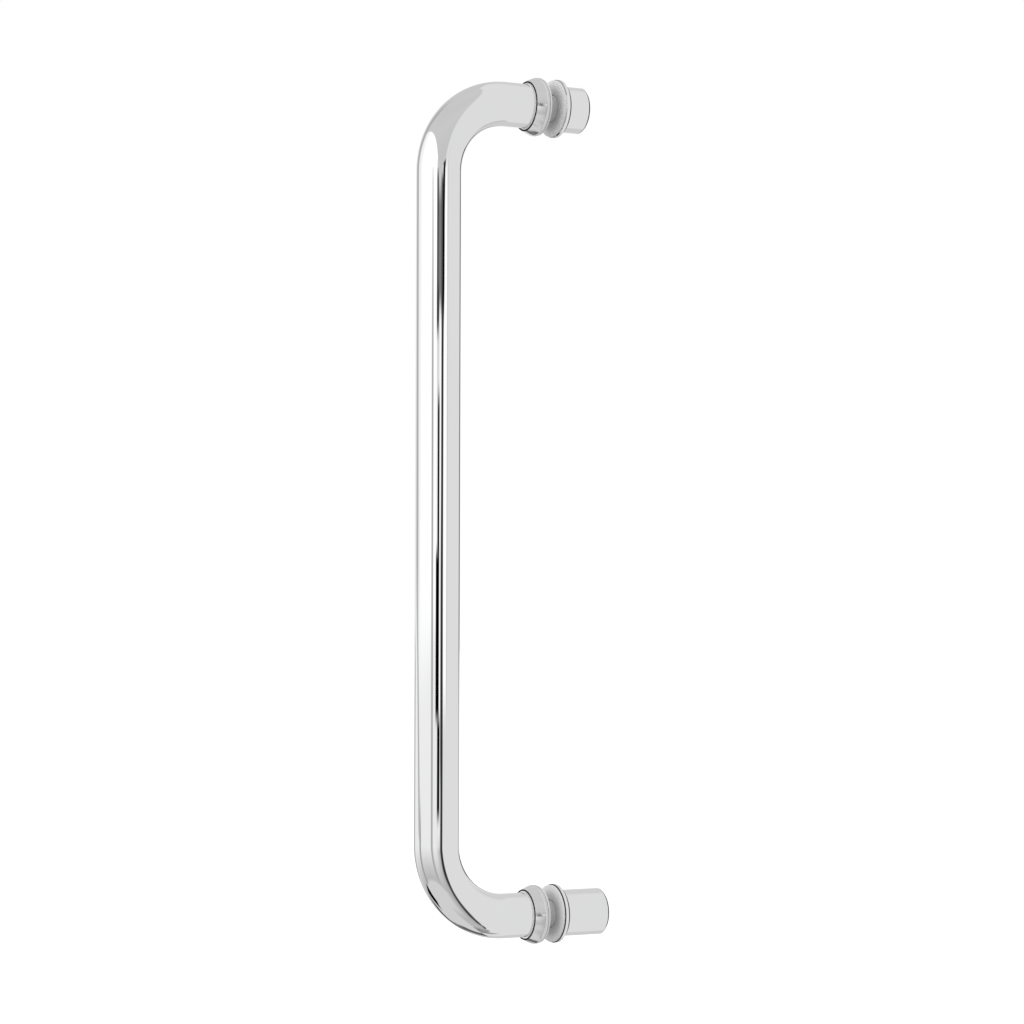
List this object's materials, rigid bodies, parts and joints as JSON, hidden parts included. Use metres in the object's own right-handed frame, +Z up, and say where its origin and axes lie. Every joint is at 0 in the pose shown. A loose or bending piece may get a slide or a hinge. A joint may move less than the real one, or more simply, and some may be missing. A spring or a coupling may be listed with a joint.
{
  "type": "shower door handle",
  "caption": "Tubular pull handle for a glass shower door: a bent chrome tube whose conical washers, gaskets and screw-on end caps clamp through holes in the glass.",
  "frame": {"origin": "on the front face of the glass, midway between the two fixing holes", "axes": "+Z up along the bar, +Y through the glass away from the user, +X to the user's right"},
  "size_m": [0.033, 0.1158, 0.49],
  "materials": {
    "polished_chrome": "mirror-polished chrome plate",
    "clear_vinyl": "satin translucent vinyl",
    "grey_nylon": "satin moulded nylon",
    "black_rubber": "matt black rubber",
    "plated_steel": "zinc-plated steel"
  },
  "bodies": {
    "root": {"handle_tube": "polished_chrome", "upper_front_washer": "polished_chrome", "upper_rear_washer": "polished_chrome", "upper_end_cap": "polished_chrome", "lower_front_washer": "polished_chrome", "lower_rear_washer": "polished_chrome", "lower_end_cap": "polished_chrome", "upper_front_gasket": "clear_vinyl", "upper_rear_gasket": "clear_vinyl", "lower_front_gasket": "clear_vinyl", "lower_rear_gasket": "clear_vinyl", "upper_glass_sleeve": "grey_nylon", "lower_glass_sleeve": "grey_nylon", "upper_tube_seal": "black_rubber", "lower_tube_seal": "black_rubber", "upper_tube_plug": "plated_steel", "upper_mounting_stud": "plated_steel", "lower_tube_plug": "plated_steel", "lower_mounting_stud": "plated_steel"}
  },
  "joints": []
}
